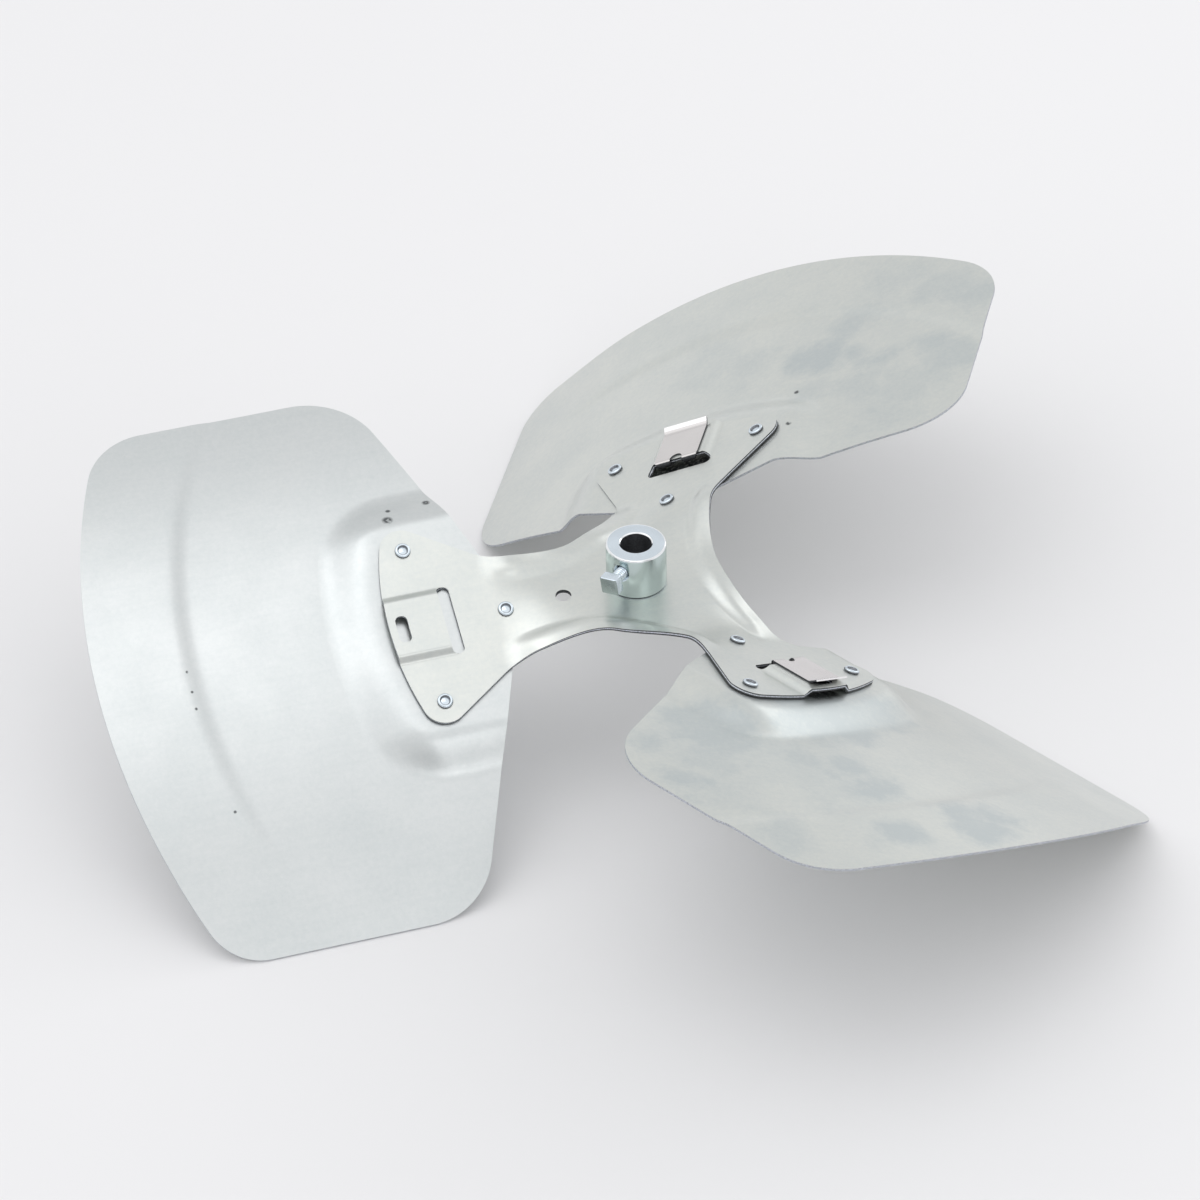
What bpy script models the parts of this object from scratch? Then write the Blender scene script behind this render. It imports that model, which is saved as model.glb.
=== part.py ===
"""Three-blade propeller fan of a condenser, lying with its hub up.

A pressed spider carries three riveted sheet blades, a turned hub with a
square-head set screw, and two balance clips.  +Z is the fan's axis and arm A
points along -X.  The origin is the fan's centre of mass, on its axis.
Lengths are metres.  On each arm, u runs outwards along the arm, v across it
(anticlockwise from above) and w out of the pad's upper face.
"""
import math

import bmesh
import bpy
from mathutils import Matrix, Vector

GAP = 0.0003
ARMS = {"a": math.pi, "b": math.pi / 3, "c": -math.pi / 3}
PITCH = math.radians(27.1)
PLATE_Z = 0.0094
PAD_DROP = 0.0017

# spider: a flat plate in the middle that twists into the three pads
SPIDER_T = 0.0019
TWIST_FROM, TWIST_TO = 0.022, 0.074
NECK_U, NECK_V, NECK_R = 0.0691, 0.0279, 0.035
HOLLOW_R = 0.068
PAD_CORNER, PAD_CORNER_R = (0.1183, 0.0604), 0.0114
PAD_APEX_U, PAD_EDGE_R = 0.1362, 0.160
RIM_H, RIM_FLAT, RIM_WIDTH = 0.0030, 0.0050, 0.0095
RIM_FADE = (0.058, 0.076)
HOLE_U, HOLE_R = 0.0385, 0.0040

# bridge across each pad: a raised channel, open at the pad's outer edge
BRIDGE_H = 0.0032
BRIDGE_TOP_V, BRIDGE_FOOT_V = 0.0150, 0.0185
SLOT_U = (0.0943, 0.1009)
OBLONG_UV, OBLONG_SIZE = (0.1224, 0.0010), (0.0062, 0.0145)

# rivets and their places on the pad
RIVET_UV = {"inner": (0.0687, 0.0), "cw": (0.1114, -0.0422), "ccw": (0.1114, 0.0422)}
RIVET_R, RIVET_HEAD_R, RIVET_HEAD_H = 0.0024, 0.0040, 0.0013
RIVET_RECESS_R, RIVET_RECESS_D = 0.0025, 0.0011
RIVET_HOLE_R = RIVET_R + GAP

# blade: a cambered sheet whose root is pressed up to a flat plateau
BLADE_T = 0.0012
CAMBER_R = 0.560
BLADE_W = -0.0079
BLADE_CW, BLADE_CCW = 0.1453, 0.1466
TIP_U, TIP_R = 0.2780, 0.325
TIP_CENTRE_U = TIP_U - TIP_R
TIP_CORNER_R = (0.035, 0.030)
INNER_EDGE, INNER_CORNER_R = ((0.0715, 0.0265), (0.1153, 0.146)), (0.040, 0.038)
ROOT = (0.0625, 0.0130)
PLATEAU_W = -(SPIDER_T + GAP)
PLATEAU_V, PLATEAU_REACH = 0.0575, 0.1830
PLATEAU_CORNER, PLATEAU_RAMP = 0.0060, 0.0205
BEAD_R, BEAD_H = (0.2715, 0.2810), 0.0013
BEAD_FADE = (0.080, 0.125)

# hub: turned, its pilot goes through the plate and is rolled over below it
HUB_R, HUB_H, HUB_CHAMFER = 0.0153, 0.0241, 0.0009
BORE_R, BORE_CHAMFER = 0.00794, 0.0006
PILOT_R, LIP_R, LIP_H = 0.0110, 0.0130, 0.0012
SCREW_ANGLE, SCREW_Z = math.radians(223), 0.0150
SCREW_R, SCREW_HEAD, SCREW_HEAD_L = 0.0031, 0.0095, 0.0060
SCREW_TIP, SCREW_HEAD_AT = 0.0086, 0.0215

# balance clips: spring-steel folds pushed over a bridge's inner end
CLIP_T, CLIP_HALF, CLIP_UNDER_HALF = 0.0008, 0.0127, 0.0098
CLIP_NOTCH_R = 0.0036
CLIPS = {"b": (0.0, 0.0010), "c": (-0.0024, 0.0036)}

GALVANISED = ((0.62, 0.65, 0.64), 0.9, 0.38)
ZINC = ((0.70, 0.74, 0.78), 1.0, 0.22)
SPRING_STEEL = ((0.60, 0.59, 0.58), 1.0, 0.30)


def clear_scene():
    for obj in list(bpy.data.objects):
        bpy.data.objects.remove(obj, do_unlink=True)


def new_collection(name):
    collection = bpy.data.collections.new(name)
    bpy.context.scene.collection.children.link(collection)
    return collection


def make_material(name, look):
    colour, metallic, roughness = look
    material = bpy.data.materials.new(name)
    material.use_nodes = True
    shader = material.node_tree.nodes["Principled BSDF"]
    shader.inputs["Base Color"].default_value = (*colour, 1.0)
    shader.inputs["Metallic"].default_value = metallic
    shader.inputs["Roughness"].default_value = roughness
    return material


def add_object(name, mesh, collection, look=None, parent=None):
    obj = bpy.data.objects.new(name, mesh)
    collection.objects.link(obj)
    obj.parent = parent
    if look:
        mesh.materials.clear()
        mesh.materials.append(make_material(name, look))
        mesh.shade_smooth()
        mesh.set_sharp_from_angle(angle=math.radians(32))
    return obj


def make_guide(obj):
    obj.hide_render = True
    obj.display_type = "WIRE"
    return obj


def evaluated_mesh(obj, name):
    """A new mesh with the object's modifiers or curve turned into faces."""
    bpy.context.view_layer.update()
    graph = bpy.context.evaluated_depsgraph_get()
    mesh = bpy.data.meshes.new_from_object(obj.evaluated_get(graph))
    mesh.name = name
    return mesh


def ease(value, start, end):
    """0 before start, 1 after end, and a smooth rise between them."""
    t = min(max((value - start) / (end - start), 0.0), 1.0)
    return t * t * (3.0 - 2.0 * t)


def ramp(value, start, end):
    """0 before start, 1 after end, and a straight rise with softened ends."""
    t = min(max((value - start) / (end - start), 0.0), 1.0)
    return 0.5 * t + 0.5 * t * t * (3.0 - 2.0 * t)


def rounded(corners, step=math.radians(9)):
    """Points of a closed outline of corners (x, y, radius), each made an arc."""
    points = []
    for i, (x, y, radius) in enumerate(corners):
        here = Vector((x, y))
        back = (Vector(corners[i - 1][:2]) - here).normalized()
        on = (Vector(corners[(i + 1) % len(corners)][:2]) - here).normalized()
        half = back.angle(on) / 2
        centre = here + (back + on).normalized() * radius / math.sin(half)
        first = here + back * radius / math.tan(half) - centre
        turn = math.pi - 2 * half
        if back.x * on.y - back.y * on.x > 0:
            turn = -turn
        count = max(2, round(abs(turn) / step))
        for k in range(count + 1):
            arc = Matrix.Rotation(turn * k / count, 2) @ first
            points.append(centre + arc)
    return points


def circle(x, y, radius, count):
    turns = [2 * math.pi * k / count for k in range(count)]
    return [Vector((x + radius * math.cos(t), y + radius * math.sin(t))) for t in turns]


def oblong(x, y, size_x, size_y):
    """A slot with round ends; the longer side sets its direction."""
    r = min(size_x, size_y) / 2
    hx, hy = size_x / 2, size_y / 2
    box = [(x - hx, y - hy), (x + hx, y - hy), (x + hx, y + hy), (x - hx, y + hy)]
    return rounded([(*p, r * 0.9) for p in box], math.radians(22.5))


def prism(name, loop, guides):
    """An upright solid with the given outline, higher and deeper than any sheet."""
    curve = bpy.data.curves.new(name, "CURVE")
    curve.dimensions = "2D"
    curve.fill_mode = "BOTH"
    curve.extrude = 0.010
    spline = curve.splines.new("POLY")
    spline.points.add(len(loop) - 1)
    for point, co in zip(spline.points, loop):
        point.co = (co.x, co.y, 0.0, 1.0)
    spline.use_cyclic_u = True
    drawn = add_object(name + "_outline", curve, guides)
    mesh = evaluated_mesh(drawn, name)
    bpy.data.objects.remove(drawn, do_unlink=True)
    edit = bmesh.new()
    edit.from_mesh(mesh)
    bmesh.ops.remove_doubles(edit, verts=edit.verts, dist=1e-6)
    bmesh.ops.recalc_face_normals(edit, faces=edit.faces)
    edit.to_mesh(mesh)
    edit.free()
    return make_guide(add_object(name, mesh, guides))


def drill(name, radius, depth, guides, sides):
    edit = bmesh.new()
    bmesh.ops.create_cone(edit, cap_ends=True, segments=sides, radius1=radius,
                          radius2=radius, depth=depth)
    mesh = bpy.data.meshes.new(name)
    edit.to_mesh(mesh)
    edit.free()
    return make_guide(add_object(name, mesh, guides))


def cut(obj, cutter, operation="DIFFERENCE"):
    step = obj.modifiers.new(cutter.name, "BOOLEAN")
    step.operation = operation
    step.object = cutter


def grid_slab(name, us, vs, thickness, guides, arc_centre=None):
    """A flat sheet divided along the lines us and vs, its upper face at w = 0."""
    edit = bmesh.new()
    nu, nv = len(us) - 1, len(vs) - 1
    bmesh.ops.create_grid(edit, x_segments=nu, y_segments=nv, size=0.5)
    for vert in edit.verts:
        u = us[round((vert.co.x + 0.5) * nu)]
        v = vs[round((vert.co.y + 0.5) * nv)]
        if arc_centre is not None:
            bend = max(u - arc_centre, 0.175)
            u -= bend - math.sqrt(bend * bend - v * v)
        vert.co = (u, v, 0.0)
    lower = bmesh.ops.extrude_face_region(edit, geom=edit.faces[:])
    for item in lower["geom"]:
        if isinstance(item, bmesh.types.BMVert):
            item.co.z -= thickness
    bmesh.ops.recalc_face_normals(edit, faces=edit.faces)
    mesh = bpy.data.meshes.new(name)
    edit.to_mesh(mesh)
    edit.free()
    return make_guide(add_object(name, mesh, guides))


def trimmed(name, slab, outline, holes, guides):
    """The mesh of a divided sheet cut to an outline, with holes; no guide is left."""
    blank = prism(name + "_blank", outline, guides)
    cut(slab, blank, "INTERSECT")
    tools = [prism(name + "_hole", hole, guides) for hole in holes]
    for tool in tools:
        cut(slab, tool)
    mesh = evaluated_mesh(slab, name)
    for used in (slab, blank, *tools):
        bpy.data.objects.remove(used, do_unlink=True)
    return mesh


def press(edit, surface):
    """Moves a flat sheet's vertices onto surface(u, v), keeping its thickness."""
    h = 0.0004
    for vert in edit.verts:
        u, v, layer = vert.co
        here = surface(u, v)
        along = surface(u + h, v) - surface(u - h, v)
        across = surface(u, v + h) - surface(u, v - h)
        vert.co = here + along.cross(across).normalized() * layer


def mirrored(lines):
    return sorted({-x for x in lines} | set(lines))


def spider_outline():
    """The blank: three pads on necks, with a wide hollow between the arms."""
    arm = [(NECK_U, -NECK_V, NECK_R), (PAD_CORNER[0], -PAD_CORNER[1], PAD_CORNER_R),
           (PAD_APEX_U, 0.0, PAD_EDGE_R), (*PAD_CORNER, PAD_CORNER_R),
           (NECK_U, NECK_V, NECK_R), (NECK_V / math.sqrt(3), NECK_V, HOLLOW_R)]
    corners = []
    for turn in range(3):
        spin = Matrix.Rotation(turn * math.tau / 3, 2)
        corners += [(*(spin @ Vector((x, y))), radius) for x, y, radius in arm]
    return rounded(corners, math.radians(6))


def rim_height(u, v):
    """The raised rim that follows the hollow edge between two arms."""
    mid = math.radians(60)
    centre = (NECK_V + HOLLOW_R) / math.sin(mid)
    dx = u - centre * math.cos(mid)
    dy = abs(v) - centre * math.sin(mid)
    inset = math.hypot(dx, dy) - HOLLOW_R
    across = 1.0 - ease(inset, RIM_FLAT, RIM_FLAT + RIM_WIDTH)
    return RIM_H * across * (1.0 - ease(u, *RIM_FADE))


def bridge_height(u, v):
    if u < sum(SLOT_U) / 2:
        return 0.0
    return BRIDGE_H * (1.0 - ramp(abs(v), BRIDGE_TOP_V, BRIDGE_FOOT_V))


def twisted(u, v, w):
    """Arm coordinates of a point w above the sheet that twists into the pad."""
    twist = ease(u, TWIST_FROM, TWIST_TO)
    angle = PITCH * twist
    y = v * math.cos(angle) + w * math.sin(angle)
    z = w * math.cos(angle) - v * math.sin(angle)
    return Vector((u, y, z - PAD_DROP * twist))


def spider_surface(u, v):
    return twisted(u, v, rim_height(u, v) + bridge_height(u, v))


def spider_arm(guides):
    """One third of the spider in arm coordinates, open along both cut planes."""
    us = [0.0, 0.010, 0.020, 0.026, 0.032, 0.038, 0.044, 0.050, 0.056, 0.062, 0.068,
          0.074, 0.084, 0.0925, 0.0976, 0.106, 0.1165, 0.128, 0.134]
    vs = mirrored([0.0, 0.006, 0.012, BRIDGE_TOP_V, BRIDGE_FOOT_V, 0.023, 0.029, 0.035,
                   0.050, 0.062])
    slot_v = 2 * BRIDGE_FOOT_V
    slot_u = SLOT_U[1] - SLOT_U[0]
    holes = [circle(0, 0, PILOT_R + GAP, 36), oblong(*OBLONG_UV, *OBLONG_SIZE),
             oblong(sum(SLOT_U) / 2, 0, slot_u, slot_v)]
    holes += [circle(u, v, RIVET_HOLE_R, 12) for u, v in RIVET_UV.values()]
    slab = grid_slab("arm_sheet", us, vs, SPIDER_T, guides)
    mesh = trimmed("arm", slab, spider_outline(), holes, guides)
    edit = bmesh.new()
    edit.from_mesh(mesh)
    bpy.data.meshes.remove(mesh)
    for side in (1, -1):
        normal = Vector((-math.sin(math.radians(60)), side * math.cos(math.radians(60)), 0))
        parts = edit.verts[:] + edit.edges[:] + edit.faces[:]
        bmesh.ops.bisect_plane(edit, geom=parts, dist=1e-7, plane_co=(0, 0, 0),
                               plane_no=normal, clear_outer=True)
    press(edit, spider_surface)
    return edit


def build_spider(collection, guides):
    whole = bmesh.new()
    for angle in ARMS.values():
        arm = spider_arm(guides)
        bmesh.ops.rotate(arm, verts=arm.verts, cent=(0, 0, 0),
                         matrix=Matrix.Rotation(angle, 3, "Z"))
        piece = bpy.data.meshes.new("piece")
        arm.to_mesh(piece)
        arm.free()
        whole.from_mesh(piece)
        bpy.data.meshes.remove(piece)
    bmesh.ops.remove_doubles(whole, verts=whole.verts, dist=2e-5)
    bmesh.ops.recalc_face_normals(whole, faces=whole.faces)
    mesh = bpy.data.meshes.new("spider")
    whole.to_mesh(mesh)
    whole.free()
    obj = add_object("spider", mesh, collection, GALVANISED)
    obj.location.z = PLATE_Z
    hole = drill("plate_hole", HOLE_R, 0.02, guides, 20)
    hole.location = (HOLE_U * math.cos(ARMS["a"]), 0, PLATE_Z)
    cut(obj, hole)
    return obj


def blade_height(u, v):
    """The blade's upper face: arc camber, arc bead, and the plateau at the root."""
    reach = math.hypot(u - TIP_CENTRE_U, v)
    w = BLADE_W - (CAMBER_R - math.sqrt(CAMBER_R ** 2 - v * v))
    w += BEAD_H * ease(reach, *BEAD_R) * (1.0 - ease(v, *BEAD_FADE))
    side = max(abs(v) - PLATEAU_V + PLATEAU_CORNER, 0.0)
    end = max(reach - PLATEAU_REACH + PLATEAU_CORNER, 0.0)
    away = math.hypot(side, end) - PLATEAU_CORNER
    return PLATEAU_W + (w - PLATEAU_W) * ramp(away, 0.0, PLATEAU_RAMP)


def tip_corner(side, radius):
    """Where a corner arc leaves the tip arc, as an angle, and its sharp corner's u."""
    turn = math.asin((side - radius) / (TIP_R - radius))
    return turn, TIP_CENTRE_U + (TIP_R - side * math.sin(turn)) / math.cos(turn)


def blade_outline():
    (neck_u, neck_v), (edge_u, edge_v) = INNER_EDGE
    slope = (edge_u - neck_u) / (edge_v - neck_v)
    turn_cw, u_cw = tip_corner(BLADE_CW, TIP_CORNER_R[0])
    turn_ccw, u_ccw = tip_corner(BLADE_CCW, TIP_CORNER_R[1])
    apex = TIP_R / math.cos((turn_cw + turn_ccw) / 2)
    lean = (turn_ccw - turn_cw) / 2
    root_u, root_v = ROOT
    corners = [(root_u, -root_v, 0.006), (neck_u, -neck_v, 0.010),
               (edge_u + slope * (BLADE_CW - edge_v), -BLADE_CW, INNER_CORNER_R[0]),
               (u_cw, -BLADE_CW, TIP_CORNER_R[0]),
               (TIP_CENTRE_U + apex * math.cos(lean), apex * math.sin(lean), TIP_R),
               (u_ccw, BLADE_CCW, TIP_CORNER_R[1]),
               (edge_u + slope * (BLADE_CCW - edge_v), BLADE_CCW, INNER_CORNER_R[1]),
               (neck_u, neck_v, 0.010), (root_u, root_v, 0.006)]
    return rounded(corners, math.radians(6))


def build_blade(name, arm, collection, guides):
    us = [0.056, 0.062, 0.068, 0.074, 0.088, 0.104, 0.120, 0.1355, 0.1420, 0.1485,
          0.1555, 0.170, 0.188, 0.206, 0.2240, 0.2285, 0.2335, 0.250, 0.267, 0.285]
    vs = mirrored([0.0, 0.007, 0.014, 0.021, 0.030, 0.044, 0.0575, 0.0640, 0.0710,
                   0.078, 0.092, 0.110, 0.128, 0.150])
    holes = [circle(u, v, RIVET_HOLE_R, 12) for u, v in RIVET_UV.values()]
    slab = grid_slab("blade_sheet", us, vs, BLADE_T, guides, TIP_CENTRE_U)
    mesh = trimmed(name, slab, blade_outline(), holes, guides)
    edit = bmesh.new()
    edit.from_mesh(mesh)
    press(edit, lambda u, v: twisted(u, v, blade_height(u, v)))
    edit.to_mesh(mesh)
    edit.free()
    return add_object(name, mesh, collection, GALVANISED, arm)


def turned(name, profile, closed, steps, collection, look, parent=None):
    """A body of revolution about Z from (radius, height) points."""
    mesh = bpy.data.meshes.new(name)
    edges = [(i, i + 1) for i in range(len(profile) - 1)]
    if closed:
        edges.append((len(profile) - 1, 0))
    mesh.from_pydata([(r, 0.0, z) for r, z in profile], edges, [])
    obj = add_object(name, mesh, collection, look, parent)
    screw = obj.modifiers.new("turn", "SCREW")
    screw.steps = screw.render_steps = steps
    screw.use_merge_vertices = True
    screw.merge_threshold = 1e-5
    screw.use_smooth_shade = True
    return obj


def build_rivet(name, pad, uv, collection):
    top = RIVET_HEAD_H + GAP
    under = PLATEAU_W - BLADE_T - GAP
    foot = under - 0.0012
    profile = [(0.0, top - RIVET_RECESS_D), (RIVET_RECESS_R - 0.0003, top - RIVET_RECESS_D),
               (RIVET_RECESS_R, top - 0.0002), (0.0030, top), (0.0037, top - 0.0003),
               (RIVET_HEAD_R, GAP + 0.0004), (RIVET_HEAD_R - 0.0001, GAP), (RIVET_R, GAP),
               (RIVET_R, under), (0.0044, under), (0.0042, foot + 0.0003), (0.0030, foot),
               (0.0, foot)]
    obj = turned(name, profile, False, 14, collection, ZINC, pad)
    obj.location = (*uv, 0.0)
    return obj


def build_hub(collection, guides):
    base = GAP
    neck = -(SPIDER_T + GAP)
    foot = neck - LIP_H
    profile = [(BORE_R + BORE_CHAMFER, HUB_H), (HUB_R - HUB_CHAMFER, HUB_H),
               (HUB_R, HUB_H - HUB_CHAMFER), (HUB_R, base), (PILOT_R, base),
               (PILOT_R, neck), (LIP_R, neck), (LIP_R - 0.0003, foot),
               (BORE_R + BORE_CHAMFER, foot), (BORE_R, foot + BORE_CHAMFER),
               (BORE_R, HUB_H - BORE_CHAMFER)]
    obj = turned("hub", profile, True, 48, collection, ZINC)
    obj.location.z = PLATE_Z
    reach = (BORE_R + HUB_R) / 2
    tapping = drill("screw_hole", SCREW_R + GAP, HUB_R, guides, 24)
    tapping.rotation_euler = (0, math.pi / 2, SCREW_ANGLE)
    tapping.location = (reach * math.cos(SCREW_ANGLE), reach * math.sin(SCREW_ANGLE),
                        PLATE_Z + SCREW_Z)
    cut(obj, tapping)
    return obj


def build_set_screw(collection, guides):
    """A square-head screw along its own Z, tip at the bottom."""
    length = SCREW_HEAD_AT - SCREW_TIP
    profile = [(0.0, length + 0.001), (SCREW_R, length + 0.001), (SCREW_R, 0.0007),
               (SCREW_R - 0.0007, 0.0), (0.0, 0.0)]
    obj = turned("set_screw", profile, False, 24, collection, ZINC)
    edit = bmesh.new()
    bmesh.ops.create_cube(edit, size=1.0)
    bmesh.ops.scale(edit, verts=edit.verts, vec=(SCREW_HEAD, SCREW_HEAD, SCREW_HEAD_L))
    mesh = bpy.data.meshes.new("screw_head")
    edit.to_mesh(mesh)
    edit.free()
    head = make_guide(add_object("screw_head", mesh, guides, None, obj))
    head.location.z = length + SCREW_HEAD_L / 2
    head.rotation_euler.z = math.radians(3)
    edge = head.modifiers.new("corners", "BEVEL")
    edge.width = 0.0009
    edge.segments = 2
    cut(obj, head, "UNION")
    obj.rotation_euler = (0, math.pi / 2, SCREW_ANGLE)
    obj.location = (SCREW_TIP * math.cos(SCREW_ANGLE), SCREW_TIP * math.sin(SCREW_ANGLE),
                    PLATE_Z + SCREW_Z)
    return obj


def clip_path(shift):
    """The folded strip's middle line as (u, w, half width), lower leaf first."""
    rise = CLIP_T / 2 + GAP
    lower, upper = BRIDGE_H - SPIDER_T - rise, BRIDGE_H + rise
    middle, radius = (lower + upper) / 2, (upper - lower) / 2
    fold_u = SLOT_U[1] + shift
    path = [(fold_u + 0.0235, lower - 0.0003, CLIP_UNDER_HALF),
            (fold_u + 0.0100, lower, CLIP_UNDER_HALF)]
    for k in range(9):
        turn = math.pi / 2 + math.pi * k / 8
        half = CLIP_UNDER_HALF + (CLIP_HALF - CLIP_UNDER_HALF) * k / 8
        path.append((fold_u + radius * math.cos(turn), middle - radius * math.sin(turn), half))
    path += [(fold_u + 0.0120, upper, CLIP_HALF), (fold_u + 0.0225, upper, CLIP_HALF),
             (fold_u + 0.0243, upper + 0.0005, CLIP_HALF),
             (fold_u + 0.0285, upper + 0.0024, CLIP_HALF)]
    return path


def build_clip(name, pad, place, collection, guides):
    shift, middle_v = place
    edit = bmesh.new()
    pairs = []
    for u, w, half in clip_path(shift):
        pairs.append([edit.verts.new((u, middle_v + side * half, w)) for side in (-1, 1)])
    for one, two in zip(pairs, pairs[1:]):
        edit.faces.new((one[0], one[1], two[1], two[0]))
    bmesh.ops.recalc_face_normals(edit, faces=edit.faces)
    mesh = bpy.data.meshes.new(name)
    edit.to_mesh(mesh)
    edit.free()
    obj = add_object(name, mesh, collection, SPRING_STEEL, pad)
    shell = obj.modifiers.new("sheet", "SOLIDIFY")
    shell.thickness = CLIP_T
    shell.offset = 0.0
    notch = drill(name + "_notch", CLIP_NOTCH_R, 0.02, guides, 24)
    notch.parent = pad
    notch.location = (SLOT_U[1] + shift - 0.0006, middle_v, 0.0)
    cut(obj, notch)
    return obj


def build_arm(letter, angle, collection, guides):
    arm = bpy.data.objects.new("arm_" + letter, None)
    pad = bpy.data.objects.new("pad_" + letter, None)
    for empty in (arm, pad):
        collection.objects.link(empty)
    arm.location.z = PLATE_Z
    arm.rotation_euler.z = angle
    pad.parent = arm
    pad.location.z = -PAD_DROP
    pad.rotation_euler.x = -PITCH
    build_blade("blade_" + letter, arm, collection, guides)
    for place, uv in RIVET_UV.items():
        build_rivet(f"rivet_{letter}_{place}", pad, uv, collection)
    if letter in CLIPS:
        build_clip("balance_clip_" + letter, pad, CLIPS[letter], collection, guides)


def main():
    clear_scene()
    parts = new_collection("condenser_fan")
    guides = new_collection("cutters")
    build_spider(parts, guides)
    build_hub(parts, guides)
    build_set_screw(parts, guides)
    for letter, angle in ARMS.items():
        build_arm(letter, angle, parts, guides)


main()
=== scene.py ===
"""Builds the finished look of a three-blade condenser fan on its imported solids.

Lengths are metres.  On each arm of the fan, u runs outwards along the arm, v across
it (anticlockwise from above) and w out of the upper face of the arm's pad.
"""

import math

import bpy
from bpy.props import FloatProperty, FloatVectorProperty, PointerProperty
from bpy.types import Operator, Panel, PropertyGroup
from mathutils import Matrix, Vector


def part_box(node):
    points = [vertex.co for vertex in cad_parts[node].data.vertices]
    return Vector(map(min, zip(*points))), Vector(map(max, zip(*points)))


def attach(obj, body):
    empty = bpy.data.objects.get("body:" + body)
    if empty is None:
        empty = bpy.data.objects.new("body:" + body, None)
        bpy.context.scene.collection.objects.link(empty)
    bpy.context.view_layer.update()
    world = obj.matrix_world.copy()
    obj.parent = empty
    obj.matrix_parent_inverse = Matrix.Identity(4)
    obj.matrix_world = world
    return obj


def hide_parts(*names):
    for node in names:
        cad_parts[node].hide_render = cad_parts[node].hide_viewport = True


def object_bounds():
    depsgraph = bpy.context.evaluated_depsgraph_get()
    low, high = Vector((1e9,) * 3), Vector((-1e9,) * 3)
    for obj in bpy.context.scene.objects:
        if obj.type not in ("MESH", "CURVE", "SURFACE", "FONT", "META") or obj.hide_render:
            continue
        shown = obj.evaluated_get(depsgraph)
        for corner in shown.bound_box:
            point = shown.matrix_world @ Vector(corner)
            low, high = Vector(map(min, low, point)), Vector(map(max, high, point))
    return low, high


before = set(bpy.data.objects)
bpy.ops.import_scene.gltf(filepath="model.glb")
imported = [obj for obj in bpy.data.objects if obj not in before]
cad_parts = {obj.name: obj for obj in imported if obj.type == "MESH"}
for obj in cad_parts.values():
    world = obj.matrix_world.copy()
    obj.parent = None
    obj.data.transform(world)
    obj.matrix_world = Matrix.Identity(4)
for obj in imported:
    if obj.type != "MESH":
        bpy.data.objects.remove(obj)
CAD_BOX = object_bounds()

bl_info = {
    "name": "Condenser Fan",
    "version": (1, 0, 0),
    "blender": (4, 5, 0),
    "location": "3D View > Sidebar > Fan",
    "description": "Builds the pieces and finishes of a three-blade condenser fan",
    "category": "Add Mesh",
}

GAP = 0.0003
ARMS = {"a": math.pi, "b": math.pi / 3, "c": -math.pi / 3}

# hub and the height of the spider's flat middle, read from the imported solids
HUB_LOW, HUB_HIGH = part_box("hub")
HUB_H, HUB_CHAMFER = 0.0241, 0.0009
HUB_R = (HUB_HIGH[0] - HUB_LOW[0]) / 2
PLATE_Z = HUB_HIGH[2] - HUB_H
BORE_R, BORE_CHAMFER = 0.00794, 0.0006
PILOT_R, LIP_R, LIP_H = 0.0110, 0.0130, 0.0012
SCREW_ANGLE, SCREW_Z = math.radians(223), 0.0150
SCREW_R, SCREW_HEAD, SCREW_HEAD_L = 0.0031, 0.0095, 0.0060
SCREW_TIP, SCREW_HEAD_AT = 0.0086, 0.0215
SINK_R = 0.0053

# spider sheet
SPIDER_T, PAD_DROP = 0.0019, 0.0017
TWIST_FROM, TWIST_TO = 0.022, 0.074
NECK_U, NECK_V, NECK_R = 0.0691, 0.0279, 0.035
HOLLOW_R = 0.068
PAD_CORNER, PAD_CORNER_R = (0.1183, 0.0604), 0.0114
PAD_APEX_U, PAD_EDGE_R = 0.1362, 0.160
RIM_H, RIM_FLAT, RIM_WIDTH = 0.0030, 0.0057, 0.0080
RIM_FADE = (0.058, 0.076)
HOLE_U, HOLE_R = 0.0385, 0.0040
BRIDGE_H = 0.0032
BRIDGE_TOP_V, BRIDGE_FOOT_V = 0.0146, 0.0188
SLOT_U, SLOT_HALF = (0.0943, 0.1009), 0.0185
OBLONG_UV, OBLONG_SIZE = (0.1224, 0.0010), (0.0062, 0.0145)

# rivets
RIVET_UV = {"inner": (0.0687, 0.0), "cw": (0.1114, -0.0422), "ccw": (0.1114, 0.0422)}
RIVET_R, RIVET_HEAD_R, RIVET_HEAD_H = 0.0024, 0.0040, 0.0013
RIVET_RECESS_R, RIVET_RECESS_D = 0.0025, 0.0011

# blade sheet
BLADE_T, CAMBER_R, BLADE_W = 0.0012, 0.560, -0.0079
BLADE_CW, BLADE_CCW = 0.1453, 0.1466
TIP_U, TIP_R = 0.2780, 0.325
TIP_CENTRE_U = TIP_U - TIP_R
TIP_CORNER_R = (0.035, 0.030)
INNER_EDGE, INNER_CORNER_R = ((0.0715, 0.0265), (0.1153, 0.146)), (0.040, 0.038)
ROOT = (0.0625, 0.0130)
PLATEAU_W = -(SPIDER_T + GAP)
PLATEAU_V, PLATEAU_REACH = 0.0575, 0.1830
PLATEAU_CORNER, PLATEAU_RAMP = 0.0060, 0.0205
BEAD_R, BEAD_H = (0.2715, 0.2810), 0.0013
BEAD_FADE = (0.080, 0.125)

# balance clips
CLIP_T, CLIP_HALF, CLIP_UNDER_HALF = 0.0008, 0.0127, 0.0098
CLIP_NOTCH_R = 0.0036
CLIPS = {"b": (0.0, 0.0010), "c": (-0.0024, 0.0036)}

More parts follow.
